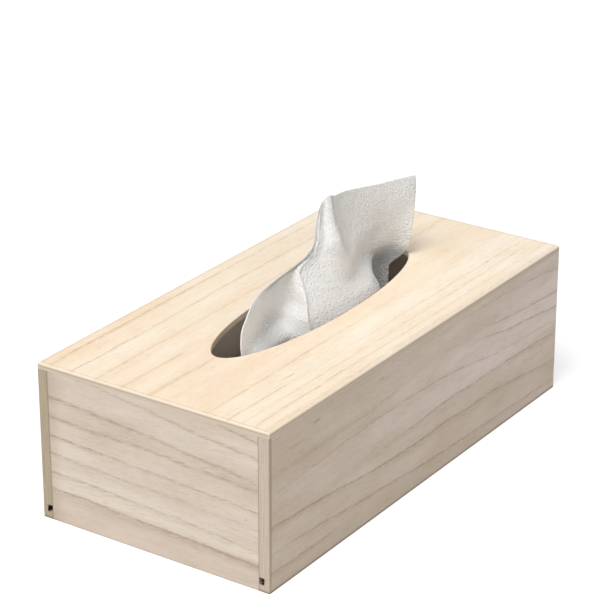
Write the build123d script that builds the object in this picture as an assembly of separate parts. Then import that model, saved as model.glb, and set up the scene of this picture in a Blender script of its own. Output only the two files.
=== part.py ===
"""Wooden tissue box holder: a plain glued box with an oval slot in its top and a thin base that slides
out of grooves at one short end. A low pack of folded tissues lies on the base, and one tissue is pulled
up through the slot.

Millimetres, +Z up. The origin is the middle of the underside. The length runs along X: the closed end
is at -X, and the base slides out at +X. The front long side is at -Y.
"""
import os

from build123d import *

# Whole box
box_length = 260.0
box_width = 130.0
box_height = 80.0

# Board thicknesses
top_thickness = 3.0
side_thickness = 5.7
end_thickness = 5.7
base_thickness = 3.0

# Eased edges
top_edge_round = 0.9
corner_round = 0.7
slot_edge_round = 0.4

# Oval slot in the top, a little nearer the open end
slot_length = 160.0
slot_width = 42.0
slot_shift = 1.5

# Groove that carries the base, on the inner face of both sides and of the closed end
groove_floor = 3.7
groove_depth = 2.8

# Clearances of the sliding base
base_fit_gap = 0.15
base_side_gap = 0.4
base_tip_gap = 0.5
rail_side_gap = 0.4
rail_ground_gap = 0.4

# Pack of folded tissues, with its room inside the box
pack_end_room = 19.3
pack_side_room = 6.8
pack_height = 22.0
pack_corner_round = 6.0
pack_edge_round = 3.0
soft_gap = 0.3

# Pulled tissue
tissue_thickness = 0.8
tissue_end_gap = 2.0
tissue_side_gap = 2.0
tissue_neck = 1.0
tissue_rise = 48.5
tissue_fall = 6.0

# What the sizes above give
half_length = box_length / 2
half_width = box_width / 2
wall_height = box_height - top_thickness
closed_end_face = -half_length + end_thickness
open_end_face = half_length - end_thickness
side_face = half_width - side_thickness
groove_height = base_thickness + 2 * base_fit_gap
groove_top = groove_floor + groove_height
board_floor = groove_floor + base_fit_gap
board_top = board_floor + base_thickness
rail_rebate = open_end_face + groove_depth
pack_floor = board_top + soft_gap
pack_top = pack_floor + pack_height
tissue_floor = pack_top + soft_gap
sheet_half_length = slot_length / 2 - tissue_end_gap
sheet_half_width = slot_width / 2 - tissue_side_gap

# The tissue's plan line at one height: eight points from its left edge to its right edge, each as
# shares of the sheet's half length and half width in the slot. They are its left edge, the hollow of
# its lobe, the lobe's crease, the main crease, the front bulge, the turn, the back hollow and its
# right edge.
SHARES_IN_SLOT = (
    (-0.91, -0.37), (-0.62, -0.26), (-0.365, -0.84), (-0.24, -0.87),
    (0.21, -0.88), (0.56, -0.16), (0.81, 0.47), (0.96, -0.18),
)

# The same line higher up. Each has its height as a share of the tissue's rise, then whether it is level
# (0) or falls to its right end by the tissue's whole fall (1).
SHARES_ABOVE = (
    (0.165, 0, ((-0.89, -0.32), (-0.61, -0.05), (-0.25, -0.47), (-0.08, -0.53),
                (0.26, -0.52), (0.57, -0.11), (0.80, 0.29), (0.94, -0.50))),
    (0.33, 0, ((-0.795, -0.24), (-0.53, 0.13), (-0.15, -0.03), (0.03, -0.29),
               (0.30, -0.18), (0.57, -0.05), (0.79, 0.05), (0.94, -0.55))),
    (0.433, 0, ((-0.57, -0.05), (-0.38, 0.13), (-0.13, 0.10), (0.065, -0.21),
                (0.31, -0.10), (0.57, -0.05), (0.78, -0.08), (0.955, -0.54))),
    (0.505, 0, ((-0.19, 0.03), (-0.13, 0.08), (-0.07, 0.09), (0.08, -0.18),
                (0.33, -0.08), (0.57, -0.05), (0.78, -0.13), (0.96, -0.54))),
    (0.577, 0, ((0.02, 0.08), (0.035, 0.10), (0.05, 0.08), (0.10, -0.16),
                (0.33, -0.06), (0.57, -0.06), (0.78, -0.18), (0.97, -0.53))),
    (1.0, 1, ((0.08, 0.05), (0.10, 0.06), (0.12, 0.04), (0.15, -0.05),
              (0.35, -0.07), (0.57, -0.18), (0.76, -0.31), (0.97, -0.47))),
)


def board(x_span, y_span, z_span):
    """A plain board, given its low and high value along each axis."""
    spans = (x_span, y_span, z_span)
    corner = [low for low, high in spans]
    sizes = [high - low for low, high in spans]
    return Pos(*corner) * Box(*sizes, align=(Align.MIN, Align.MIN, Align.MIN))


def back_side_panel():
    """A long side: it runs the full length, and its groove is open at both ends."""
    panel = board((-half_length, half_length), (side_face, half_width), (0, wall_height))
    outer_edges = panel.faces().sort_by(Axis.Y)[-1].edges().filter_by(Axis.Z)
    panel = fillet(outer_edges, corner_round)
    groove_span = (side_face, side_face + groove_depth)
    return panel - board((-half_length, half_length), groove_span, (groove_floor, groove_top))


def front_side_panel():
    """The other long side, the mirror image of the back one."""
    return mirror(back_side_panel(), about=Plane.XZ)


def top_panel():
    """The top covers all four walls. Its oval is cut straight through, and its edges are eased."""
    panel = board((-half_length, half_length), (-half_width, half_width), (wall_height, box_height))
    panel = fillet(panel.edges().filter_by(Axis.Z), corner_round)
    oval = extrude(Ellipse(slot_length / 2, slot_width / 2), box_height)
    panel = panel - Pos(slot_shift, 0, wall_height / 2) * oval
    outline = panel.faces().sort_by(Axis.Z)[-1].outer_wire()
    panel = fillet(outline.edges(), top_edge_round)
    rim = panel.faces().filter_by(Plane.XY).sort_by(Axis.Z)[-1].inner_wires()[0]
    return fillet(rim.edges(), slot_edge_round)


def closed_end_panel():
    """The closed end stands between the sides, down to the ground, with the groove on its inner face."""
    panel = board((-half_length, closed_end_face), (-side_face, side_face), (0, wall_height))
    groove_span = (closed_end_face - groove_depth, closed_end_face)
    return panel - board(groove_span, (-side_face, side_face), (groove_floor, groove_top))


def open_end_panel():
    """The open end stops at the groove's top, so that the base slides out under it."""
    return board((open_end_face, half_length), (-side_face, side_face), (groove_top, wall_height))


def base_board():
    """The thin base: it runs in the side grooves, and its tip enters the closed end's groove."""
    tip = closed_end_face - groove_depth + base_tip_gap
    tongue_edge = side_face + groove_depth - base_side_gap
    return board((tip, rail_rebate), (-tongue_edge, tongue_edge), (board_floor, board_top))


def base_end_rail():
    """The strip that closes the gap under the open end, rebated for the end of the base."""
    rail_edge = side_face - rail_side_gap
    rail = board((open_end_face, half_length), (-rail_edge, rail_edge), (rail_ground_gap, board_top))
    return rail - board((open_end_face, rail_rebate), (-rail_edge, rail_edge), (board_floor, board_top))


def tissue_pack():
    """The stack of folded tissues, with soft corners and edges."""
    x_span = (closed_end_face + pack_end_room, open_end_face - pack_end_room)
    y_span = (-side_face + pack_side_room, side_face - pack_side_room)
    pack = board(x_span, y_span, (pack_floor, pack_top))
    pack = fillet(pack.edges().filter_by(Axis.Z), pack_corner_round)
    return fillet(pack.faces().filter_by(Plane.XY).edges(), pack_edge_round)


def sheet_outline(shares, height, fall=0.0):
    """The closed outline of the sheet at one height: its plan line, given the sheet's thickness."""
    first, last = shares[0][0], shares[-1][0]
    line = []
    for along, across in shares:
        drop = fall * (along - first) / (last - first)
        line.append((slot_shift + along * sheet_half_length, across * sheet_half_width, height - drop))

    def face_line(shift):
        left, hollow, lobe, crease, bulge, turn, back, right = [Vector(x, y + shift, z) for x, y, z in line]
        return [
            Edge.make_three_point_arc(left, hollow, lobe),
            Edge.make_line(lobe, crease),
            Edge.make_three_point_arc(crease, bulge, turn),
            Edge.make_three_point_arc(turn, back, right),
        ]

    near = face_line(-tissue_thickness / 2)
    far = face_line(tissue_thickness / 2)
    ends = [Edge.make_line(near[0] @ 0, far[0] @ 0), Edge.make_line(near[-1] @ 1, far[-1] @ 1)]
    return Wire(near + far + ends)


def pulled_tissue():
    """One tissue, from just above the pack, straight up through the slot and out into its folds."""
    outlines = [sheet_outline(SHARES_IN_SLOT, height) for height in (tissue_floor, box_height + tissue_neck)]
    for rise, fall, shares in SHARES_ABOVE:
        outlines.append(sheet_outline(shares, box_height + rise * tissue_rise, fall * tissue_fall))
    return Solid.make_loft(outlines, ruled=True)


NODES = {
    "top_panel": top_panel(),
    "front_side_panel": front_side_panel(),
    "back_side_panel": back_side_panel(),
    "closed_end_panel": closed_end_panel(),
    "open_end_panel": open_end_panel(),
    "base_board": base_board(),
    "base_end_rail": base_end_rail(),
    "tissue_pack": tissue_pack(),
    "pulled_tissue": pulled_tissue(),
}

os.makedirs("parts", exist_ok=True)
for name, shape in NODES.items():
    export_step(shape, f"parts/{name}.step")
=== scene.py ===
"""Looks of the wooden tissue box holder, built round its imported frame. Lengths in the tables are in
millimetres in the box's own frame, and MM turns them into Blender's metres.
"""

import math
from collections import namedtuple

import bpy
import numpy as np
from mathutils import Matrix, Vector, noise


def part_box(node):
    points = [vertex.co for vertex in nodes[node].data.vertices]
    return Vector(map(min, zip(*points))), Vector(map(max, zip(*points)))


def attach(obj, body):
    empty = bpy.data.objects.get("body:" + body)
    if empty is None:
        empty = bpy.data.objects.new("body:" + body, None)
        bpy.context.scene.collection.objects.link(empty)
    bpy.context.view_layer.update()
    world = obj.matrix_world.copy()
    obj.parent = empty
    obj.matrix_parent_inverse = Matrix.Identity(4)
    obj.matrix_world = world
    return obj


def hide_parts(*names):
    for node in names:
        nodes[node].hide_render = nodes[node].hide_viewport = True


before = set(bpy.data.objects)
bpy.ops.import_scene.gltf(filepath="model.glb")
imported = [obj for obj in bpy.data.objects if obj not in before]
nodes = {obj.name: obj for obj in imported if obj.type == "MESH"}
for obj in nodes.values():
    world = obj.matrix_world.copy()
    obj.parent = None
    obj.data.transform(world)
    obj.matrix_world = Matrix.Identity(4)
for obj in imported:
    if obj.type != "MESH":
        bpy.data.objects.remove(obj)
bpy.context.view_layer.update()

MM = 0.001

# Sizes read from the frame
low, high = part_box("top_panel")
half_length = high.x / MM
half_width = high.y / MM
box_top = high.z / MM
wall_top = low.z / MM
side_face = -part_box("front_side_panel")[1].y / MM
end_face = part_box("open_end_panel")[0].x / MM
base_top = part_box("base_board")[1].z / MM
pack_low, pack_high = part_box("tissue_pack")

# The grooves' ends, as in the part's source
closed_end = -half_length
groove_low, groove_high, groove_depth = 3.7, 7.0, 2.8

WHITE = (1.0, 1.0, 1.0, 1.0)


class Graph:
    """The nodes of a material or a world, made with short calls. A value may be a number, a tuple or a
    socket."""

    def __init__(self, owner):
        owner.use_nodes = True
        self.owner = owner
        self.tree = owner.node_tree
        self.tree.nodes.clear()

    def node(self, kind, inputs=(), **settings):
        made = self.tree.nodes.new("ShaderNode" + kind)
        for key, value in settings.items():
            setattr(made, key, value)
        for key, value in dict(inputs).items():
            if isinstance(value, bpy.types.NodeSocket):
                self.tree.links.new(value, made.inputs[key])
            else:
                made.inputs[key].default_value = value
        return made

    def math(self, operation, *values, clamp=False):
        return self.node("Math", enumerate(values), operation=operation, use_clamp=clamp).outputs[0]

    def add(self, a, b):
        return self.math("ADD", a, b)

    def sub(self, a, b):
        return self.math("SUBTRACT", a, b)

    def times(self, a, b):
        return self.math("MULTIPLY", a, b)

    def vector(self, x, y, z):
        return self.node("CombineXYZ", enumerate((x, y, z))).outputs[0]

    def step(self, value, start, end, low=0.0, high=1.0):
        """A smooth step from low to high as value goes from start to end."""
        inputs = {0: value, 1: start, 2: end, 3: low, 4: high}
        return self.node("MapRange", inputs, interpolation_type="SMOOTHSTEP").outputs[0]

    def noise(self, x, y, z, detail=2.0, roughness=0.5):
        """Smooth noise, about 0.5 on average."""
        inputs = {"Vector": self.vector(x, y, z), "Scale": 1.0, "Detail": detail, "Roughness": roughness}
        return self.node("TexNoise", inputs).outputs[0]

    def mix(self, share, a, b):
        """Colour a, with a share of colour b over it."""
        a, b = [x if isinstance(x, bpy.types.NodeSocket) else (*x, 1.0) for x in (a, b)]
        return self.node("Mix", {0: share, 6: a, 7: b}, data_type="RGBA").outputs[2]

    def finish(self, shader):
        """The finished material."""
        self.node("OutputMaterial", {"Surface": shader})
        return self.owner


def linear(red, green, blue):
    """A colour of 0 to 255 a channel, as Blender's linear values."""
    def channel(value):
        value /= 255
        return value / 12.92 if value <= 0.04045 else ((value + 0.055) / 1.055) ** 2.4

    return tuple(channel(value) for value in (red, green, blue))


# A dark line of the grain on a board's face. Each point is its place along the grain, its place across
# it and its strength. The line fades over its core, and over its tail to one side.
Streak = namedtuple("Streak", "points width tail")
CORE_WIDTHS = 1.35
TAIL_STRENGTH = 0.35

# A soft dark spot, a mark in the wood or a strip of painted shade: its place along and across the
# grain, how far it reaches each way, and its strength.
Spot = namedtuple("Spot", "along across reach_along reach_across strength")

# A dark line where boards meet or along an edge, or a band of painted shade: the axis across it, its place,
# width and strength.
Seam = namedtuple("Seam", "axis place width strength")

# A board's grain. axes names the axis along the grain, the one across it on the board's face and the one
# through its thickness. tones gives how tan the board is at places across it, at its low and its high
# end: 0 is the light tone, 1 is the dark one, and a little past them the clouds show less. end is the
# colour of its end grain, and depth is how strong its grain lines are.
Grain = namedtuple(
    "Grain", "axes half_along half_across tones light dark end streaks seed depth spots seams",
    defaults=(1.3, (), ()))

# How much painted light lifts the faces inside the box towards a pale tone, the relief of the wood
# and of the paper, and how much light the paper lets through
INSIDE_LIGHT_SHARE = 0.85
WOOD_RELIEF = 0.12
PAPER_RELIEF = 1.0
PAPER_THROUGH = 0.1

# The embossing is weaker on the left of the cloth: its share there, and where it fades, measured from
# the cloth's right edge
WORN_SHARE = 0.6
WORN_UP_TO, WHOLE_FROM = -135.0, -100.0


def set_curve(curve, places):
    """Gives one curve of a curve node the listed points."""
    while len(curve.points) < len(places):
        curve.points.new(0.0, 0.0)
    for point, place in zip(curve.points, places):
        point.location = place


def shade_of(colour, red, green, blue):
    """A colour with its channels multiplied."""
    return tuple(a * b for a, b in zip(colour, (red, green, blue)))


def streak_mask(graph, along, across, grain, streak, wobble):
    """How much one grain line darkens the wood, from 0 to its strength."""
    scaled = graph.math("DIVIDE", along, grain.half_along)
    line = graph.node("VectorCurve", {"Vector": graph.vector(scaled, scaled, 0.0)})
    for axis, column, reach in ((0, 1, grain.half_across), (1, 2, 1.0)):
        places = [(point[0] / grain.half_along, point[column] / reach) for point in streak.points]
        set_curve(line.mapping.curves[axis], places)
    line.mapping.update()
    spread = graph.node("SeparateXYZ", {0: line.outputs[0]})
    distance = graph.add(graph.sub(across, graph.times(spread.outputs[0], grain.half_across)), wobble)
    outward = graph.times(distance, math.copysign(1.0, streak.tail))
    core = graph.step(graph.math("ABSOLUTE", distance), 0.0, streak.width * CORE_WIDTHS, 1.0, 0.0)
    tail = graph.step(outward, 0.0, abs(streak.tail), TAIL_STRENGTH, 0.0)
    behind = graph.step(outward, -streak.width * 0.5, 0.0)
    shade = graph.math("MAXIMUM", core, graph.times(tail, behind))
    return graph.times(shade, graph.math("MAXIMUM", spread.outputs[1], 0.0))


def spot_mask(graph, along, across, spot):
    """How much one spot darkens the wood."""
    from_along = graph.math("DIVIDE", graph.sub(along, spot.along), spot.reach_along)
    from_across = graph.math("DIVIDE", graph.sub(across, spot.across), spot.reach_across)
    square = graph.add(graph.times(from_along, from_along), graph.times(from_across, from_across))
    return graph.step(square, 0.2, 1.0, spot.strength, 0.0)


def board_places(graph, grain):
    """A point's place along, across and through the board in millimetres, its x, y and z, and how much
    its surface is end grain."""
    place = graph.node("TexCoord")
    scaled = graph.node("VectorMath", {0: place.outputs["Object"], 3: 1 / MM}, operation="SCALE")
    position = graph.node("SeparateXYZ", {0: scaled.outputs[0]})
    facing = graph.node("SeparateXYZ", {0: place.outputs["Normal"]})
    order = ["XYZ".index(axis) for axis in grain.axes]
    end_facing = graph.math("ABSOLUTE", facing.outputs[order[0]])
    return [position.outputs[k] for k in order], list(position.outputs), graph.step(end_facing, 0.75, 0.98)


def inside_mask(graph, xyz):
    """1 on the faces that look into the box, which painted light lifts, and 0 elsewhere."""
    x, y, z = xyz
    slack = 0.05
    limits = ((graph.math("ABSOLUTE", x), end_face + slack), (graph.math("ABSOLUTE", y), side_face + slack),
              (z, wall_top + slack))
    mask = graph.math("GREATER_THAN", z, base_top - slack)
    for value, limit in limits:
        mask = graph.times(mask, graph.math("LESS_THAN", value, limit))
    return mask


def groove_shade_mask(graph, xyz):
    """1 in the two small holes where the grooves end, with a ragged edge: there the wood is painted dark as
    shade.
    """
    x, y, z = xyz
    usual_reach = 1.6
    soft = 0.15
    dark_to, pale_from = 5.0, 12.0
    ragged = graph.noise(graph.times(y, 1.1), graph.times(z, 1.1), 5.0, 2.0)
    middle = (groove_low + groove_high) / 2
    from_middle = graph.math("ABSOLUTE", graph.sub(z, middle))
    reach = graph.math("MULTIPLY_ADD", ragged, 1.6, (groove_high - groove_low) / 2 - 0.7)
    in_height = graph.step(graph.sub(from_middle, reach), -soft, soft, 1.0, 0.0)
    from_wall = graph.sub(graph.math("ABSOLUTE", y), side_face)
    past = graph.sub(from_wall, graph.add(reach, groove_depth - usual_reach))
    in_depth = graph.step(past, -soft, soft, 1.0, 0.0)
    in_depth = graph.times(in_depth, graph.math("GREATER_THAN", from_wall, -0.4))
    near_end = graph.step(x, closed_end + dark_to, closed_end + pale_from, 1.0, 0.0)
    return graph.times(near_end, graph.times(in_height, in_depth))


def top_edges(graph, xyz, colour, end_tone):
    """The top's eased outer edge: a pale rounding between two thin dark lines, above an upright face."""
    x, y, z = xyz
    lip, rounding, line_below = 1.6, 0.9, 1.35
    from_end = graph.sub(half_length, graph.math("ABSOLUTE", x))
    from_side = graph.sub(half_width, graph.math("ABSOLUTE", y))
    inward = graph.math("MINIMUM", from_end, from_side)
    outer = graph.step(inward, 0.0, 0.12, 1.0, 0.0)
    on_top = graph.step(z, box_top - lip, box_top - rounding)
    colour = graph.mix(graph.times(outer, graph.step(on_top, 0.0, 1.0, 1.0, 0.0)), colour, end_tone)
    pale = graph.times(graph.step(inward, 0.8, 1.3, 0.6, 0.0), on_top)
    colour = graph.mix(pale, colour, EDGE_TONE)
    inside = graph.step(graph.math("ABSOLUTE", graph.sub(inward, lip)), 0.0, 0.6, 0.3, 0.0)
    broken = graph.noise(graph.times(x, 0.25), graph.times(y, 0.25), 3.0, 2.0)
    inside = graph.times(inside, graph.step(broken, 0.3, 0.6, 0.3, 1.2))
    under = graph.step(graph.math("ABSOLUTE", graph.sub(z, box_top - line_below)), 0.0, 0.45, 0.55, 0.0)
    under = graph.times(under, outer)
    return graph.mix(graph.add(graph.times(inside, on_top), under), colour, EDGE_LINE)


def wood(name, grain, top=False, groove_shade=False, inside_light=INSIDE_LIGHT_SHARE):
    """Bare pale wood with its grain lines, fibres and pores. top adds the top's eased edges, the groove
    flag paints shade into the grooves' ends, and the inside share is how much painted light lifts the faces
    inside the box towards a pale tone."""
    graph = Graph(bpy.data.materials.new(name))
    (along, across, through), xyz, end_grain = board_places(graph, grain)
    inside = inside_mask(graph, xyz)
    seed = grain.seed

    # The grain's own place across the board, which drifts and wavers along it
    drift = graph.noise(graph.times(along, 0.007), graph.times(across, 0.015), seed, 1.0)
    waver = graph.noise(graph.times(along, 0.04), graph.times(across, 0.04), seed + 5.0, 2.0)
    jitter = graph.noise(graph.times(along, 0.5), graph.times(across, 0.7), seed + 6.0, 2.0, 0.7)
    line = graph.sub(across, graph.times(graph.sub(drift, 0.5), 12.0))
    line = graph.add(line, graph.times(graph.sub(waver, 0.5), 2.0))
    line = graph.add(line, graph.times(through, 0.6))
    wobble = graph.add(graph.times(graph.sub(waver, 0.5), 1.5), graph.times(graph.sub(jitter, 0.5), 1.6))
    slant = graph.add(line, graph.times(along, 0.06))

    # Noise stretched along the grain: broad bands, fibres, short strokes, hairs and pores
    bands = graph.noise(graph.times(along, 0.005), graph.times(line, 0.12), seed + 3.1, 3.0, 0.6)
    fibres = graph.noise(
        graph.times(along, 0.04), graph.times(line, 0.9), graph.times(through, 1.2), 4.0, 0.65)
    strokes = graph.noise(graph.times(along, 0.16), graph.times(slant, 1.35), seed + 9.3, 2.0, 0.65)
    hairs = graph.noise(
        graph.times(along, 0.3), graph.times(slant, 2.6), graph.times(through, 2.0), 2.0, 0.6)
    pores = graph.noise(graph.times(along, 0.5), graph.times(line, 3.6), graph.times(through, 3.0), 1.0)
    cloud = graph.noise(graph.times(along, 0.025), graph.times(across, 0.07), seed + 12.0, 3.0, 0.6)
    pore_mask = graph.step(pores, 0.68, 0.78)
    stroke_mask = graph.step(strokes, 0.48, 0.66)

    # How tan the wood is here
    ends = []
    for tones in grain.tones:
        across_share = graph.math("MULTIPLY_ADD", across, 0.5 / grain.half_across, 0.5)
        tan = graph.node("FloatCurve", {1: across_share})
        places = [(place / grain.half_across / 2 + 0.5, tone) for place, tone in tones]
        set_curve(tan.mapping.curves[0], places)
        tan.mapping.update()
        ends.append(tan.outputs[0])
    share = graph.math("MULTIPLY_ADD", along, 0.5 / grain.half_along, 0.5)
    tone = graph.add(ends[0], graph.times(share, graph.sub(ends[1], ends[0])))
    tone = graph.add(tone, graph.times(graph.sub(cloud, 0.5), 1.3))
    tone = graph.add(tone, graph.times(graph.sub(bands, 0.5), 0.7))
    colour = graph.mix(graph.math("MAXIMUM", tone, 0.0, clamp=True), grain.light, grain.dark)

    # Darker fibres and strokes, and the named lines, broken up by the strokes
    deep = shade_of(grain.dark, 0.70, 0.65, 0.59)
    colour = graph.mix(graph.step(fibres, 0.48, 0.78, 0.0, 0.22), colour, deep)
    colour = graph.mix(graph.times(stroke_mask, graph.step(cloud, 0.35, 0.6, 0.08, 0.2)), colour, deep)
    colour = graph.mix(graph.step(hairs, 0.5, 0.8, 0.0, 0.25), colour, deep)
    colour = graph.mix(graph.step(hairs, 0.5, 0.2, 0.0, 0.3), colour, grain.light)
    total = 0.0
    for streak in grain.streaks:
        total = graph.add(total, streak_mask(graph, along, across, grain, streak, wobble))
    broken = graph.times(graph.step(strokes, 0.34, 0.6, 0.3, 1.1), graph.step(hairs, 0.3, 0.6, 0.65, 1.15))
    total = graph.times(graph.times(total, broken), grain.depth)
    for spot in grain.spots:
        total = graph.add(total, spot_mask(graph, along, across, spot))
    colour = graph.mix(graph.math("MINIMUM", total, 0.9), colour, deep)
    colour = graph.mix(graph.times(pore_mask, 0.3), colour, shade_of(grain.dark, 0.45, 0.42, 0.38))

    # End grain: short specks and thin upright rings instead of long fibres
    specks = graph.noise(
        graph.times(across, 1.8), graph.times(through, 1.8), graph.times(along, 0.05), 3.0, 0.7)
    rings = graph.noise(graph.times(across, 0.05), graph.times(through, 1.1), seed + 2.0, 2.0, 0.6)
    end_deep = shade_of(grain.end, 0.74, 0.71, 0.66)
    end = graph.mix(graph.step(specks, 0.4, 0.7, 0.0, 0.35), grain.end, end_deep)
    end = graph.mix(graph.step(rings, 0.45, 0.62, 0.0, 0.4), end, end_deep)
    colour = graph.mix(end_grain, colour, end)
    if top:
        colour = top_edges(graph, xyz, colour, grain.end)
    # Dark lines at joints and edges, and bands of painted shade
    total = 0.0
    for seam_or_shade in grain.seams:
        distance = graph.math("ABSOLUTE", graph.sub(xyz["XYZ".index(seam_or_shade.axis)], seam_or_shade.place))
        total = graph.add(total, graph.step(distance, 0.0, seam_or_shade.width, seam_or_shade.strength, 0.0))
    if grain.seams:
        colour = graph.mix(graph.math("MINIMUM", total, 0.8), colour, SEAM_AND_SHADE_TONE)
    # Painted light: the faces inside the box are lifted towards a pale tone
    colour = graph.mix(graph.times(inside, inside_light), colour, INSIDE_PAINTED_LIGHT)
    # Painted shade: the grooves' ends are painted dark
    if groove_shade:
        colour = graph.mix(groove_shade_mask(graph, xyz), colour, GROOVE_PAINTED_SHADE)

    raised = graph.add(graph.times(fibres, 0.5), graph.times(hairs, 0.4))
    height = graph.sub(raised, graph.times(pore_mask, 0.5))
    bump = graph.node("Bump", {"Strength": 0.5, "Distance": WOOD_RELIEF * MM, "Height": height})
    rough = graph.step(bands, 0.3, 0.8, 0.62, 0.8)
    shader = graph.node("BsdfPrincipled", {
        "Base Color": colour, "Roughness": rough, "Normal": bump.outputs[0], "Specular IOR Level": 0.25})
    return graph.finish(shader.outputs[0])


def grown_streaks(seed, half_along, low, high, count, lean):
    """Grain lines for a board's face, spread evenly across it, which drift alike along it."""
    random = np.random.default_rng(seed)
    last = 5
    streaks = []
    for number in range(count):
        start = low + (high - low) * (number + random.uniform(0.1, 0.9)) / count
        points = []
        for step in range(last + 1):
            share = step / (last / 2) - 1.0
            bow = lean * share + random.normal(0.0, 0.5)
            points.append((half_along * share, start + bow, max(0.0, random.uniform(-0.1, 0.6))))
        tail = random.uniform(1.5, 4.5) * random.choice((-1.0, 1.0))
        streaks.append(Streak(tuple(points), random.uniform(0.5, 1.1), tail))
    return tuple(streaks)


def paper_material(name, colour):
    """Soft embossed tissue paper, which lets some light through."""
    graph = Graph(bpy.data.materials.new(name))
    place = graph.node("TexCoord")
    scaled = graph.node("VectorMath", {0: place.outputs["UV"], 3: 1 / MM}, operation="SCALE")
    spread = graph.node("SeparateXYZ", {0: scaled.outputs[0]})
    across, up = spread.outputs[0], spread.outputs[1]
    emboss = graph.noise(graph.times(across, 0.75), graph.times(up, 0.75), 0.0, 2.0, 0.6)
    crepe = graph.noise(graph.times(across, 0.25), graph.times(up, 2.0), 3.0, 2.0, 0.6)
    cloud = graph.noise(graph.times(across, 0.06), graph.times(up, 0.06), 9.0, 2.0, 0.6)
    height = graph.add(emboss, graph.times(crepe, 0.3))
    worn = graph.step(across, WORN_UP_TO, WHOLE_FROM, WORN_SHARE, 1.0)
    height = graph.times(height, worn)
    bump = graph.node("Bump", {"Strength": 1.0, "Distance": PAPER_RELIEF * MM, "Height": height})
    # Painted shade: the embossing's pits are darker, less so where the embossing is weaker
    pit_shade = graph.times(graph.step(emboss, 0.34, 0.5, 1.0, 0.0), graph.step(cloud, 0.35, 0.65, 0.1, 0.4))
    pit_shade = graph.times(pit_shade, worn)
    shaded = graph.mix(pit_shade, colour, tuple(a * 0.8 for a in colour))
    front = graph.node("BsdfPrincipled", {
        "Base Color": shaded, "Roughness": 0.9, "Normal": bump.outputs[0], "Specular IOR Level": 0.15})
    through = graph.node("BsdfTranslucent", {"Color": shaded, "Normal": bump.outputs[0]})
    both = graph.node("MixShader", {0: PAPER_THROUGH, 1: front.outputs[0], 2: through.outputs[0]})
    return graph.finish(both.outputs[0])


# The grain lines of the top, the closed end and the front side
TOP_STREAKS = (
    Streak(((-130, 58.6, 0.6), (-90, 58.4, 0.8), (-30, 58.2, 0.65), (60, 57.6, 0.3), (130, 57.0, 0.2)),
            0.9, -3.0),
    Streak(((-130, 45.8, 0.4), (-95, 45.2, 0.7), (-60, 45.0, 0.5), (-20, 45.6, 0.55), (130, 45.0, 0.1)),
            0.8, -2.5),
    Streak(((-130, 31.0, 0.6), (-95, 31.4, 0.6), (-60, 31.0, 0.35), (0, 31.0, 0.3), (130, 31.0, 0.1)),
            0.8, 2.5),
    Streak(((-130, 17.2, 0.35), (-110, 16.2, 0.65), (-88, 15.6, 0.5), (-78, 15.5, 0.1),
            (130, 16.0, 0.2)), 0.8, -2.5),
    Streak(((-130, 1.0, 0.4), (-85, 0.4, 0.4), (-78, 0.4, 0.2), (130, 3.0, 0.2)), 1.8, 4.0),
    Streak(((-130, -31.2, 0.5), (-30, -31.6, 0.45), (10, -31.6, 0.15), (130, -32.0, 0.1)), 0.6, 2.0),
    Streak(((-130, -39.0, 0.1), (-86, -39.2, 0.1), (-78, -39.4, 0.6), (-68, -39.8, 0.1),
            (130, -42.0, 0.2)), 0.7, -2.0),
    Streak(((-130, -42.5, 0.5), (-95, -43.0, 0.5), (-75, -43.6, 0.2), (60, -45.0, 0.35),
            (130, -46.0, 0.2)), 0.8, -2.0),
    Streak(((-130, -49.5, 0.25), (-70, -50.5, 0.4), (-20, -51.5, 0.3), (60, -51.0, 0.4),
            (130, -51.0, 0.2)), 0.7, 2.0),
    Streak(((-130, -56.0, 0.35), (-70, -56.2, 0.55), (-20, -57.0, 0.35), (130, -57.5, 0.2)), 0.8, -2.0),
    Streak(((-130, -62.0, 0.3), (-40, -62.2, 0.4), (60, -62.0, 0.2), (130, -62.5, 0.2)), 0.7, 1.5),
)
END_STREAKS = (
    Streak(((-60, 12.3, 1.3), (-35, 13.2, 1.1), (-8, 14.4, 0.9), (20, 15.4, 0.65), (59, 17.0, 0.7)),
            0.8, -5.0),
    Streak(((-60, 19.5, 0.3), (-18, 22.3, 0.35), (8, 23.6, 0.35), (33, 24.6, 0.45), (59, 25.6, 0.5)),
            0.9, -4.0),
    Streak(((-60, 30.0, 0.1), (-33, 31.6, 0.25), (18, 33.2, 0.3), (46, 34.5, 0.45), (59, 35.2, 0.5)),
            1.0, -4.0),
    Streak(((-60, 38.8, 0.55), (-14, 41.2, 0.45), (8, 42.2, 0.35), (33, 43.2, 0.55), (59, 44.4, 0.65)),
            0.8, -3.5),
    Streak(((-60, 49.8, 0.45), (-24, 51.2, 0.5), (6, 53.0, 0.45), (34, 53.2, 0.6), (59, 54.2, 0.5)),
            1.3, 5.0),
    Streak(((-60, 53.5, 0.3), (-40, 55.2, 0.5), (-4, 59.3, 0.5), (32, 62.2, 0.6), (59, 64.3, 0.5)),
            1.3, -5.0),
    Streak(((-60, 65.2, 0.5), (-20, 69.7, 0.4), (8, 73.6, 0.3), (34, 76.6, 0.2), (59, 78.0, 0.0)),
            1.2, 3.0),
    Streak(((-60, 73.3, 0.6), (-48, 75.2, 0.5), (-34, 77.6, 0.3), (0, 80.0, 0.0), (59, 82.0, 0.0)),
            1.0, 4.0),
)
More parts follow.
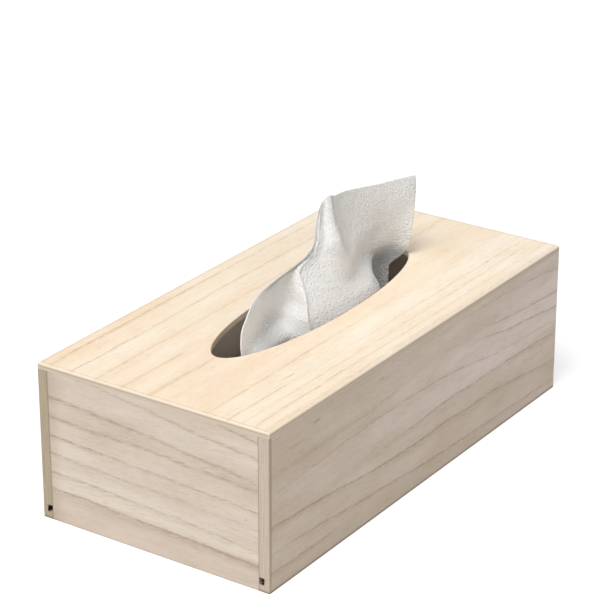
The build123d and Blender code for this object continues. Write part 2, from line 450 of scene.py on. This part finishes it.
SIDE_STREAKS = (
    Streak(((-130, 32.5, 0.8), (-95, 30.3, 0.8), (-74, 28.7, 0.7), (-57, 26.7, 0.7), (-39, 25.3, 0.7),
            (0, 24.0, 0.75), (18, 24.5, 0.6), (43, 23.3, 0.6), (68, 22.8, 0.5), (98, 19.5, 0.5),
            (128, 16.2, 0.4)), 0.8, -4.0),
    Streak(((-130, 19.5, 0.2), (-99, 18.2, 0.45), (-59, 14.5, 0.7), (-39, 13.3, 0.65), (-15, 11.2, 0.6),
            (6, 9.5, 0.6), (51, 7.8, 0.5), (85, 6.7, 0.4), (128, 5.0, 0.35)), 0.8, -4.0),
    Streak(((-130, 9.8, 0.5), (-107, 9.0, 0.6), (-80, 8.7, 0.5), (-68, 8.4, 0.0), (130, 5.0, 0.0)),
            0.9, -4.0),
    Streak(((-130, 34.0, 0.0), (-45, 33.3, 0.1), (-15, 34.2, 0.4), (10, 35.3, 0.5), (35, 35.8, 0.7),
            (51, 35.0, 0.5), (76, 34.5, 0.6), (101, 33.7, 0.6), (125, 32.0, 0.5)), 0.7, -4.0),
    Streak(((-130, 48.0, 0.1), (-95, 49.5, 0.35), (-49, 51.2, 0.4), (-9, 50.8, 0.45), (10, 49.8, 0.45),
            (35, 47.8, 0.4), (68, 42.8, 0.3), (93, 41.2, 0.25), (128, 38.0, 0.1)), 0.6, 2.5),
    Streak(((-130, 62.0, 0.0), (50, 57.0, 0.1), (60, 55.3, 0.35), (76, 52.3, 0.5), (93, 50.7, 0.5),
            (128, 46.5, 0.5)), 0.7, -3.0),
    Streak(((-130, 57.0, 0.25), (-74, 57.8, 0.25), (-32, 58.7, 0.2), (-16, 60.5, 0.1), (0, 62.0, 0.0),
            (130, 70.0, 0.0)), 1.8, 5.0),
    Streak(((-130, 70.0, 0.0), (55, 62.0, 0.1), (65, 60.3, 0.3), (85, 58.2, 0.45), (126, 55.3, 0.4)),
            0.7, 3.0),
    Streak(((-130, 75.0, 0.1), (0, 74.0, 0.1), (101, 71.0, 0.35), (128, 68.0, 0.35)), 0.7, 3.0),
)

# Their spots
TOP_SPOTS = (
    Spot(90.3, -45.3, 1.7, 0.7, 0.9),
)
END_SPOTS = (
    Spot(-52.3, 33.7, 0.5, 0.5, 1.0),
    Spot(58.0, 72.0, 12.0, 14.0, 0.2),
)
SIDE_SPOTS = (
    Spot(-92.5, 71.0, 4.0, 0.7, 0.8),
    Spot(-39.0, 70.8, 3.5, 0.5, 0.5),
    Spot(-110.0, 66.0, 9.0, 0.6, 0.4),
    # A thin upright strip of painted shade along the rounded near corner
    Spot(-129.8, 62.0, 2.3, 95.0, 1.0),
)

# How tan each board is, at places across its grain
TOP_TONES = (
    ((-65, 0.6), (-48, 0.55), (-38, 0.3), (-30, 0.8), (-20, 0.85), (-10, 0.55), (0, 0.75), (7, 0.5),
     (14, 0.85), (22, 0.4), (30, 0.8), (38, 0.4), (54, 0.75), (65, 0.9)),
    ((-65, 0.25), (-50, 0.15), (-40, 0.0), (-28, 0.45), (-18, 0.5), (0, 0.4), (14, 0.4), (25, 0.2),
     (42, 0.1), (55, 0.1), (65, 0.2)),
)
SIDE_TONES = (
    ((0, 0.95), (6, 1.05), (12, 0.75), (20, 0.75), (32, 0.85), (40, 0.75), (46, 0.8), (52, 0.95),
     (58, 1.0), (77, 1.0)),
    ((0, 0.5), (8, 0.6), (18, 0.85), (24, 0.6), (34, 0.35), (40, 0.05), (58, 0.0), (64, 0.2), (70, 0.4),
     (77, 0.3)),
)
END_TONES = (
    ((0, 0.85), (11, 0.9), (13, 1.0), (15.5, 0.0), (18, 0.0), (22, 0.3), (34, 0.4), (42, 0.55),
     (52, 0.8), (60, 0.5), (66, 0.3), (72, 0.55), (77, 0.9)),
    ((0, 0.75), (10, 0.75), (14, 0.85), (17.5, 0.05), (22, -0.2), (28, 0.2), (34, 0.3), (42, 0.3),
     (52, 0.6), (60, 0.6), (66, 0.5), (77, 0.3)),
)
EVEN_TONES = (((-65, 0.4), (0, 0.35), (65, 0.45)),) * 2
WALL_TONES = (((0, 0.5), (20, 0.3), (40, 0.5), (60, 0.35), (77, 0.5)),) * 2

TOP_LIGHT, TOP_DARK = linear(255, 243, 224), linear(248, 223, 192)
SIDE_LIGHT, SIDE_DARK = linear(250, 235, 225), linear(226, 208, 186)
END_LIGHT, END_DARK = linear(243, 230, 213), linear(222, 204, 187)
FAR_END, NEAR_END = linear(197, 182, 157), linear(222, 207, 189)
PLAIN_END = linear(226, 209, 189)
EDGE_TONE, EDGE_LINE = linear(238, 224, 204), linear(168, 148, 124)
# Tone of the dark lines and of the painted shade bands, the painted light inside the box, and the painted
# shade in the grooves' ends
SEAM_AND_SHADE_TONE, INSIDE_PAINTED_LIGHT, GROOVE_PAINTED_SHADE = linear(140, 118, 96), linear(255, 240, 225), linear(30, 20, 14)

# The grain's axes and half sizes of a long side, of an end and of a board that lies flat
LONG = dict(axes="XZY", half_along=half_length, half_across=box_top, light=SIDE_LIGHT, dark=SIDE_DARK)
SHORT = dict(axes="YZX", half_along=half_width, half_across=box_top, light=END_LIGHT, dark=END_DARK,
             end=PLAIN_END)
FLAT = dict(axes="XYZ", half_along=half_length, half_across=half_width, end=PLAIN_END)
back_streaks = grown_streaks(11, half_length, 4.0, 76.0, 9, -4.0)
open_streaks = grown_streaks(12, half_width, 10.0, 76.0, 6, 2.0)
base_streaks = grown_streaks(13, half_length, -60.0, 60.0, 12, 3.0)
rail_streaks = grown_streaks(14, half_width, 0.0, 7.0, 2, 0.5)

# The joints between the ends and the two sides, the lines at the boards' feet, and the shade at the far
# end of the closed end
back_joint = Seam("Y", side_face, 0.6, 0.5)
front_joint = Seam("Y", -side_face, 0.6, 0.5)
end_foot = Seam("Z", 0.0, 1.0, 0.3)
side_lines = (Seam("Z", 0.0, 1.8, 0.8), Seam("Z", wall_top, 0.5, 0.2))
far_shade = Seam("Y", side_face, 9.0, 0.2)

top_grain = Grain(**FLAT, light=TOP_LIGHT, dark=TOP_DARK, tones=TOP_TONES, streaks=TOP_STREAKS, seed=1.0,
                  depth=1.1, spots=TOP_SPOTS)
front_grain = Grain(**LONG, end=NEAR_END, tones=SIDE_TONES, streaks=SIDE_STREAKS, seed=2.0, depth=1.35,
                    spots=SIDE_SPOTS, seams=(front_joint, *side_lines))
back_grain = Grain(**LONG, end=FAR_END, tones=WALL_TONES, streaks=back_streaks, seed=33.0,
                   seams=(back_joint, *side_lines))
closed_grain = Grain(**SHORT, tones=END_TONES, streaks=END_STREAKS, seed=4.0, spots=END_SPOTS,
                     seams=(back_joint, front_joint, end_foot, far_shade))
open_grain = Grain(**SHORT, tones=WALL_TONES, streaks=open_streaks, seed=51.0,
                   seams=(back_joint, front_joint))
base_grain = Grain(**FLAT, light=SIDE_LIGHT, dark=SIDE_DARK, tones=EVEN_TONES, streaks=base_streaks,
                   seed=61.0)
rail_grain = Grain(**SHORT, tones=WALL_TONES, streaks=rail_streaks, seed=71.0)

materials = {
    "top_panel": wood("top_wood", top_grain, top=True),
    "front_side_panel": wood("front_side_wood", front_grain, groove_shade=True),
    "back_side_panel": wood("back_side_wood", back_grain, groove_shade=True),
    "closed_end_panel": wood("closed_end_wood", closed_grain),
    "open_end_panel": wood("open_end_wood", open_grain),
    "base_board": wood("base_wood", base_grain, inside_light=0.0),
    "base_end_rail": wood("rail_wood", rail_grain),
}
for node, material in materials.items():
    nodes[node].data.materials.clear()
    nodes[node].data.materials.append(material)


# The pulled tissue. Every level holds its height above the box's top, how much of the top edge's fall
# it takes, and the sheet's plan line there: thirteen points, as shares of the sheet's half length and
# half width in the slot. They are its left edge, the lobe's front, hollow and right, the crease's tip
# and return, the middle of the front, its crest, two points of the flank, the hollow behind it, the
# right curl and the right edge.
SLOT_SHIFT = 1.5
SHEET_HALF_LENGTH = 78.0
SHEET_HALF_WIDTH = 19.0
SHEET_THICKNESS = 0.5
CREASE_TIP, CREASE_RETURN = 4, 5
DEEP_LINE = (
    (-0.91, -0.41), (-0.75, -0.56), (-0.47, -0.28), (-0.355, -0.32), (-0.352, -0.92), (-0.345, -0.87),
    (0.05, -1.0), (0.38, -0.92), (0.54, -0.62), (0.66, 0.02), (0.78, 0.63), (0.86, 0.46), (0.915, 0.12),
)
LEVELS = (
    (-50.55, 0.0, DEEP_LINE),
    (-20.0, 0.0, DEEP_LINE),
    (-8.0, 0.0, DEEP_LINE),
    (1.0, 0.0, (
        (-0.91, -0.37), (-0.75, -0.33), (-0.46, -0.03), (-0.335, -0.03), (-0.35, -0.82), (-0.34, -0.74),
        (0.05, -0.82), (0.32, -0.80), (0.49, -0.50), (0.63, -0.08), (0.785, 0.26), (0.875, 0.12),
        (0.953, -0.26))),
    (8.0, 0.0, (
        (-0.89, -0.32), (-0.72, -0.25), (-0.43, -0.01), (-0.28, 0.02), (-0.285, -0.58), (-0.278, -0.50),
        (0.03, -0.62), (0.22, -0.56), (0.40, -0.30), (0.56, 0.0), (0.74, 0.08), (0.88, -0.14),
        (0.945, -0.47))),
    (16.0, 0.0, (
        (-0.795, -0.24), (-0.66, -0.16), (-0.44, -0.02), (-0.265, 0.05), (-0.232, -0.29),
        (-0.222, -0.21), (0.0, -0.38), (0.21, -0.54), (0.36, -0.26), (0.53, -0.02), (0.73, 0.04),
        (0.87, -0.22), (0.961, -0.48))),
    (21.0, 0.0, (
        (-0.57, -0.05), (-0.49, -0.04), (-0.38, 0.0), (-0.255, 0.03), (-0.20, -0.10), (-0.18, -0.07),
        (0.0, -0.24), (0.17, -0.51), (0.32, -0.20), (0.52, 0.0), (0.73, -0.02), (0.875, -0.25),
        (0.975, -0.48))),
    (24.5, 0.0, (
        (-0.12, 0.0), (-0.10, -0.01), (-0.08, -0.02), (-0.06, -0.03), (-0.05, -0.04), (-0.035, -0.05),
        (0.02, -0.18), (0.142, -0.48), (0.29, -0.16), (0.50, 0.05), (0.73, -0.04), (0.88, -0.27),
        (0.986, -0.47))),
    (28.0, 0.0, (
        (0.009, 0.04), (0.011, 0.035), (0.014, 0.03), (0.018, 0.02), (0.022, 0.0), (0.028, -0.03),
        (0.05, -0.20), (0.125, -0.45), (0.27, -0.12), (0.48, 0.10), (0.73, -0.06), (0.88, -0.28),
        (0.996, -0.46))),
    (38.0, 0.3, (
        (0.089, 0.18), (0.090, 0.175), (0.091, 0.17), (0.093, 0.16), (0.095, 0.14), (0.097, 0.11),
        (0.105, -0.02), (0.135, -0.23), (0.25, 0.02), (0.46, 0.18), (0.72, -0.03), (0.88, -0.24),
        (1.018, -0.42))),
    (48.5, 1.0, (
        (0.160, 0.28), (0.160, 0.275), (0.160, 0.27), (0.161, 0.26), (0.162, 0.24), (0.164, 0.22),
        (0.172, 0.15), (0.192, 0.08), (0.27, 0.16), (0.45, 0.24), (0.71, 0.02), (0.87, -0.16),
        (1.03, -0.36))),
)

# How far the top edge lies below the sheet's height, at shares of the half length
TOP_EDGE_FALL = (
    (0.160, 6.4), (0.164, 4.0), (0.172, 1.2), (0.192, -0.6), (0.27, 1.8), (0.45, 3.9), (0.71, 6.3),
    (1.03, 7.5),
)

# Small folds: start and end, each as a place along the plan line's points and a height above the top,
# then how far the fold stands out and how wide it is
FOLDS = (
    ((6.1, 25.0), (6.25, 6.0), 0.45, 2.2),
    ((4.0, 14.0), (3.5, 9.0), 0.4, 1.5),
    ((5.2, 13.0), (6.0, 9.0), 0.35, 1.4),
    ((8.2, 44.0), (7.5, 30.0), 0.3, 2.5),
    ((11.6, 6.0), (12.0, 10.0), -0.5, 3.0),
)

# The sheet's mesh: its rows, and its columns in a span of the plan line and across the crease
ROWS = 190
SPAN_COLUMNS = 18
CREASE_COLUMNS = 3

# In how many places along it a small fold is measured
FOLD_SAMPLES = 25

# Heights above the top between which the small folds and the unevenness grow from nothing to whole
CALM_BELOW, FREE_ABOVE = -12.0, 2.0


def calm_tangents(points, knots):
    """Slopes at the given points that never carry a curve past them."""
    slopes = np.diff(points, axis=0) / np.diff(knots)[:, None]
    before, after = slopes[:-1], slopes[1:]
    same_way = before * after > 0
    total = np.where(same_way, before + after, 1.0)
    middle = np.where(same_way, 2 * before * after / total, 0.0)
    return np.concatenate([slopes[:1], middle, slopes[-1:]])


def smooth_curve(points, knots, where, calm=False):
    """Points of the smooth curve that passes the given points at the given knots."""
    points, knots = np.asarray(points, float), np.asarray(knots, float)
    tangents = calm_tangents(points, knots) if calm else np.gradient(points, knots, axis=0)
    span = np.clip(np.searchsorted(knots, where, side="right") - 1, 0, len(knots) - 2)
    gap = np.diff(knots)[span][:, None]
    t = (where - knots[span])[:, None] / gap
    return ((2 * t**3 - 3 * t**2 + 1) * points[span] + (t**3 - 2 * t**2 + t) * tangents[span] * gap
            + (3 * t**2 - 2 * t**3) * points[span + 1] + (t**3 - t**2) * tangents[span + 1] * gap)


def plan_curve(points, per_span):
    """A smooth plan curve with the same number of steps in each span between two of its points."""
    gaps = np.maximum(np.linalg.norm(np.diff(points, axis=0), axis=1), 0.02) ** 0.5
    knots = np.concatenate([[0.0], np.cumsum(gaps)])
    last = len(points) - 1
    where = np.interp(np.linspace(0, last, last * per_span + 1), range(len(points)), knots)
    return smooth_curve(points, knots, where)


def sheet_grid():
    """The sheet's middle surface: rows of points from its bottom to its top edge, and each row's height
    above the top."""
    rises = [level[0] for level in LEVELS]
    fall_places, falls = zip(*TOP_EDGE_FALL)
    lines = []
    for rise, share, line in LEVELS:
        places = np.array([(SLOT_SHIFT + SHEET_HALF_LENGTH * u, SHEET_HALF_WIDTH * v,
                            box_top + rise - share * np.interp(u, fall_places, falls)) for u, v in line])
        left = plan_curve(places[:CREASE_TIP + 1], SPAN_COLUMNS)
        step = np.linspace(places[CREASE_TIP], places[CREASE_RETURN], CREASE_COLUMNS + 1)
        right = plan_curve(places[CREASE_RETURN:], SPAN_COLUMNS)
        lines.append(np.concatenate([left[:-1], step, right[1:]]))
    heights = np.linspace(rises[0], rises[-1], ROWS)
    columns = []
    for j in range(len(lines[0])):
        columns.append(smooth_curve([line[j] for line in lines], rises, heights, calm=True))
    return np.array(columns).transpose(1, 0, 2), heights


def column_of(place):
    """The grid's column at a place along the plan line's points."""
    last = len(DEEP_LINE) - 1
    tip = CREASE_TIP * SPAN_COLUMNS
    back = tip + CREASE_COLUMNS
    columns = [0, tip, back, back + (last - CREASE_RETURN) * SPAN_COLUMNS]
    return np.interp(place, [0, CREASE_TIP, CREASE_RETURN, last], columns)


def cloth_places(grid):
    """Each point's place on the flat cloth: from its right edge, and up from its bottom."""
    across = np.linalg.norm(np.diff(grid, axis=1), axis=2)
    across = np.concatenate([np.cumsum(across[:, ::-1], axis=1)[:, ::-1], np.zeros((len(grid), 1))], axis=1)
    up = np.linalg.norm(np.diff(grid, axis=0), axis=2)
    up = np.concatenate([np.zeros((1, grid.shape[1])), np.cumsum(up, axis=0)])
    return np.stack([-across, up], axis=-1)


def surface_normals(grid):
    """The surface's normals, on its front."""
    normals = np.cross(np.gradient(grid, axis=1), np.gradient(grid, axis=0))
    return normals / np.maximum(np.linalg.norm(normals, axis=2, keepdims=True), 1e-9)


def folded(grid, heights, cloth):
    """The surface with its small folds and soft unevenness."""
    normals = surface_normals(grid)
    rows, columns = np.mgrid[0:grid.shape[0], 0:grid.shape[1]]
    shift = np.zeros(grid.shape[:2])
    for (start_place, start_rise), (end_place, end_rise), depth, width in FOLDS:
        nearest = np.full(shift.shape, np.inf)
        share_there = np.zeros(shift.shape)
        for share in np.linspace(0.0, 1.0, FOLD_SAMPLES):
            column = column_of(start_place + (end_place - start_place) * share)
            row = np.interp(start_rise + (end_rise - start_rise) * share, heights, range(len(heights)))
            at = cloth[int(round(row)), int(round(float(column)))]
            distance = np.linalg.norm(cloth - at, axis=2)
            closer = (distance < nearest) & (np.abs(columns - column) < 1.5 * SPAN_COLUMNS)
            nearest[closer], share_there[closer] = distance[closer], share
        shift += depth * np.exp(-(nearest / width) ** 2) * np.sin(np.pi * (0.12 + 0.76 * share_there))
    for i in range(grid.shape[0]):
        for j in range(grid.shape[1]):
            x, y = cloth[i, j]
            soft = noise.noise(Vector((x * 0.055, y * 0.03, 2.0))) * 0.5
            small = noise.noise(Vector((x * 0.16, y * 0.12, 7.0))) * 0.12
            shift[i, j] += soft + small
    free = np.interp(heights, (CALM_BELOW, FREE_ABOVE), (0.0, 1.0))[:, None]
    return grid + normals * (shift * free)[:, :, None]


def placed(name, data):
    """A new object of the scene that holds the data."""
    made = bpy.data.objects.new(name, data)
    bpy.context.scene.collection.objects.link(made)
    return made


def mapped_mesh(name, points, faces, places):
    """A mesh of points in millimetres, with each point's place as its UV map in metres."""
    mesh = bpy.data.meshes.new(name)
    mesh.from_pydata((points * MM).tolist(), [], faces)
    layer = mesh.uv_layers.new(name="UVMap")
    corners = np.zeros(len(mesh.loops), np.int32)
    mesh.loops.foreach_get("vertex_index", corners)
    layer.data.foreach_set("uv", (places[corners] * MM).astype(np.float32).ravel())
    return mesh


def sheet_mesh(name, grid, places, thickness):
    """A closed mesh of a thin sheet from a grid of points in millimetres, with a UV map in metres. Its
    rim is flat shaded, so that it catches the light as a cut edge does."""
    rows, columns = grid.shape[:2]
    normals = surface_normals(grid) * (thickness / 2)
    points = np.concatenate([(grid + normals).reshape(-1, 3), (grid - normals).reshape(-1, 3)])
    count = rows * columns
    faces = []
    for i in range(rows - 1):
        for j in range(columns - 1):
            corner = i * columns + j
            front = (corner, corner + 1, corner + columns + 1, corner + columns)
            faces += [front, tuple(count + k for k in reversed(front))]
    walls = len(faces)
    rim = list(range(columns)) + [i * columns + columns - 1 for i in range(1, rows)]
    rim += [(rows - 1) * columns + j for j in reversed(range(columns - 1))]
    rim += [i * columns for i in reversed(range(1, rows - 1))]
    for start, end in zip(rim, rim[1:] + rim[:1]):
        faces.append((end, start, start + count, end + count))
    flat = places.reshape(-1, 2)
    mesh = mapped_mesh(name, points, faces, np.concatenate([flat, flat]))
    mesh.polygons.foreach_set("use_smooth", [number < walls for number in range(len(faces))])
    return placed(name, mesh)


grid, heights = sheet_grid()
cloth = cloth_places(grid)
tissue = sheet_mesh("tissue_sheet", folded(grid, heights, cloth), cloth, SHEET_THICKNESS)
tissue.data.materials.append(paper_material("tissue_paper", linear(252, 251, 249)))
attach(tissue, "tissue")
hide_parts("pulled_tissue")


# The pack: its layers, its corners' radius, how far its folds draw in, how low its middle lies under
# its top, and the shares of its outline at which the loops that close its top lie
STACK_LAYERS = 36
STACK_CORNER = 6.0
STACK_CORNER_STEPS = 8
STACK_EDGE_STEP = 5.0
FOLD_INSET = 1.2
STACK_SINK = 0.15
CLOSING_SHARES = (0.97, 0.9, 0.75, 0.5, 0.25)

# One layer from below: a share of its thickness, and how much of the fold's inset it has there
LAYER_PROFILE = ((0.0, 0.5), (0.25, 0.1), (0.5, 0.0), (0.75, 0.1))


def rounded_outline(half_x, half_y):
    """The pack's outline in plan, with points close together on its straight sides too."""
    ring = []
    for turn in range(4):
        centre_x = (half_x - STACK_CORNER) * (1 if turn in (0, 3) else -1)
        centre_y = (half_y - STACK_CORNER) * (1 if turn in (0, 1) else -1)
        for k in range(STACK_CORNER_STEPS + 1):
            angle = math.pi / 2 * (turn + k / STACK_CORNER_STEPS)
            ring.append((centre_x + STACK_CORNER * math.cos(angle),
                         centre_y + STACK_CORNER * math.sin(angle)))
    dense = []
    for (x0, y0), (x1, y1) in zip(ring, ring[1:] + ring[:1]):
        steps = max(1, int(math.hypot(x1 - x0, y1 - y0) / STACK_EDGE_STEP))
        dense += [(x0 + (x1 - x0) * i / steps, y0 + (y1 - y0) * i / steps) for i in range(steps)]
    return np.array(dense)


def pack_mesh():
    """The pack of folded tissues: thin layers, each with rounded folds at the long sides."""
    lows, highs = np.array(pack_low) / MM, np.array(pack_high) / MM
    thickness = (highs[2] - lows[2]) / STACK_LAYERS
    half_x, half_y = (highs[0] - lows[0]) / 2, (highs[1] - lows[1]) / 2
    ring = rounded_outline(half_x, half_y)
    count = len(ring)
    random = np.random.default_rng(7)
    points = []
    for layer in range(STACK_LAYERS):
        slip = random.normal(0.0, 0.25, 2)
        pull = abs(random.normal(0.0, 0.3))
        for share, inset in LAYER_PROFILE:
            z = lows[2] + (layer + share) * thickness
            drawn = inset * FOLD_INSET + pull
            for x, y in ring:
                points.append((np.clip(x * (1 - drawn / half_x) + slip[0], -half_x, half_x),
                               np.clip(y * (1 - drawn / half_y) + slip[1], -half_y, half_y), z))
    points = np.array(points)
    loops = []
    for share in CLOSING_SHARES:
        loop = points[-count:].copy()
        loop[:, :2] *= share
        loop[:, 2] = highs[2] - STACK_SINK
        loops.append(loop)
    points = np.concatenate([points, *loops])
    faces = []
    for row in range(0, len(points) - count, count):
        for j in range(count):
            k = (j + 1) % count
            faces.append((row + j, row + k, row + count + k, row + count + j))
    faces.append(tuple(range(len(points) - count, len(points))))
    faces.append(tuple(reversed(range(count))))
    return placed("tissue_stack", mapped_mesh("tissue_stack", points, faces, points[:, :2]))


stack = pack_mesh()
stack.data.materials.append(paper_material("stack_paper", linear(248, 247, 245)))
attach(stack, "box")
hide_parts("tissue_pack")


# Camera, fitted to the box's straight edges in the photograph
CAMERA_PLACE = (-0.92013, -0.61963, 0.56375)
CAMERA_AIM = (0.75761, 0.51616, -0.39951)
SENSOR_WIDTH = 36.0
LENS = 149.57
NEAREST, FARTHEST = 0.05, 20.0


def aimed(made, place, direction):
    """Puts a camera or a lamp at a place, looking along a direction."""
    made.location = place
    made.rotation_mode = "QUATERNION"
    made.rotation_quaternion = Vector(direction).to_track_quat("-Z", "Y")
    return made


camera_data = bpy.data.cameras.new("camera")
camera_data.sensor_width = SENSOR_WIDTH
camera_data.lens = LENS
camera_data.clip_start, camera_data.clip_end = NEAREST, FARTHEST
bpy.context.scene.camera = aimed(placed("camera", camera_data), CAMERA_PLACE, CAMERA_AIM)

# Two soft square lamps that look at the middle of the box: place, size and power
LAMP_TARGET = (0.0, 0.0, 0.04)
LAMPS = {
    "key_lamp": ((-1.75, -0.15, 3.0), 1.8, 95.0),
    "fill_lamp": ((-0.8, -1.8, 1.1), 1.3, 5.8),
}
for name, (place, size, power) in LAMPS.items():
    lamp_data = bpy.data.lights.new(name, "AREA")
    lamp_data.size = size
    lamp_data.energy = power
    aimed(placed(name, lamp_data), place, Vector(LAMP_TARGET) - Vector(place))

# World: an even pale dome, white where the camera, glass or gloss sees it
DOME = 0.30
sky = Graph(bpy.data.worlds.new("world"))
rays = sky.node("LightPath").outputs
seen = sky.math("MAXIMUM", rays["Is Camera Ray"], rays["Is Transmission Ray"])
shown = sky.math("MAXIMUM", seen, rays["Is Glossy Ray"])
dome = sky.node("Background", {"Color": WHITE, "Strength": DOME})
white = sky.node("Background", {"Color": WHITE})
choice = sky.node("MixShader", {0: shown, 1: dome.outputs[0], 2: white.outputs[0]})
sky.node("OutputWorld", {"Surface": choice.outputs[0]})
bpy.context.scene.world = sky.owner

# Floor: pale grey with the object's shadow, lifted to white where the camera sees it
FLOOR_REACH = 4.0
FLOOR_GREY = (0.55, 0.55, 0.55, 1.0)
FLOOR_LIFT = 0.62
corners = [(x * FLOOR_REACH, y * FLOOR_REACH, 0) for x, y in ((-1, -1), (1, -1), (1, 1), (-1, 1))]
floor_mesh = bpy.data.meshes.new("floor")
floor_mesh.from_pydata(corners, [], [(0, 1, 2, 3)])
floor = placed("floor", floor_mesh)
graph = Graph(bpy.data.materials.new("floor_white"))
plain = graph.node("BsdfDiffuse", {"Color": FLOOR_GREY})
glow = graph.node("Emission", {"Color": WHITE, "Strength": FLOOR_LIFT})
together = graph.node("AddShader", {0: plain.outputs[0], 1: glow.outputs[0]})
camera_ray = graph.node("LightPath").outputs["Is Camera Ray"]
chosen = graph.node("MixShader", {0: camera_ray, 1: plain.outputs[0], 2: together.outputs[0]})
floor.data.materials.append(graph.finish(chosen.outputs[0]))

bpy.context.scene.view_settings.view_transform = "Standard"
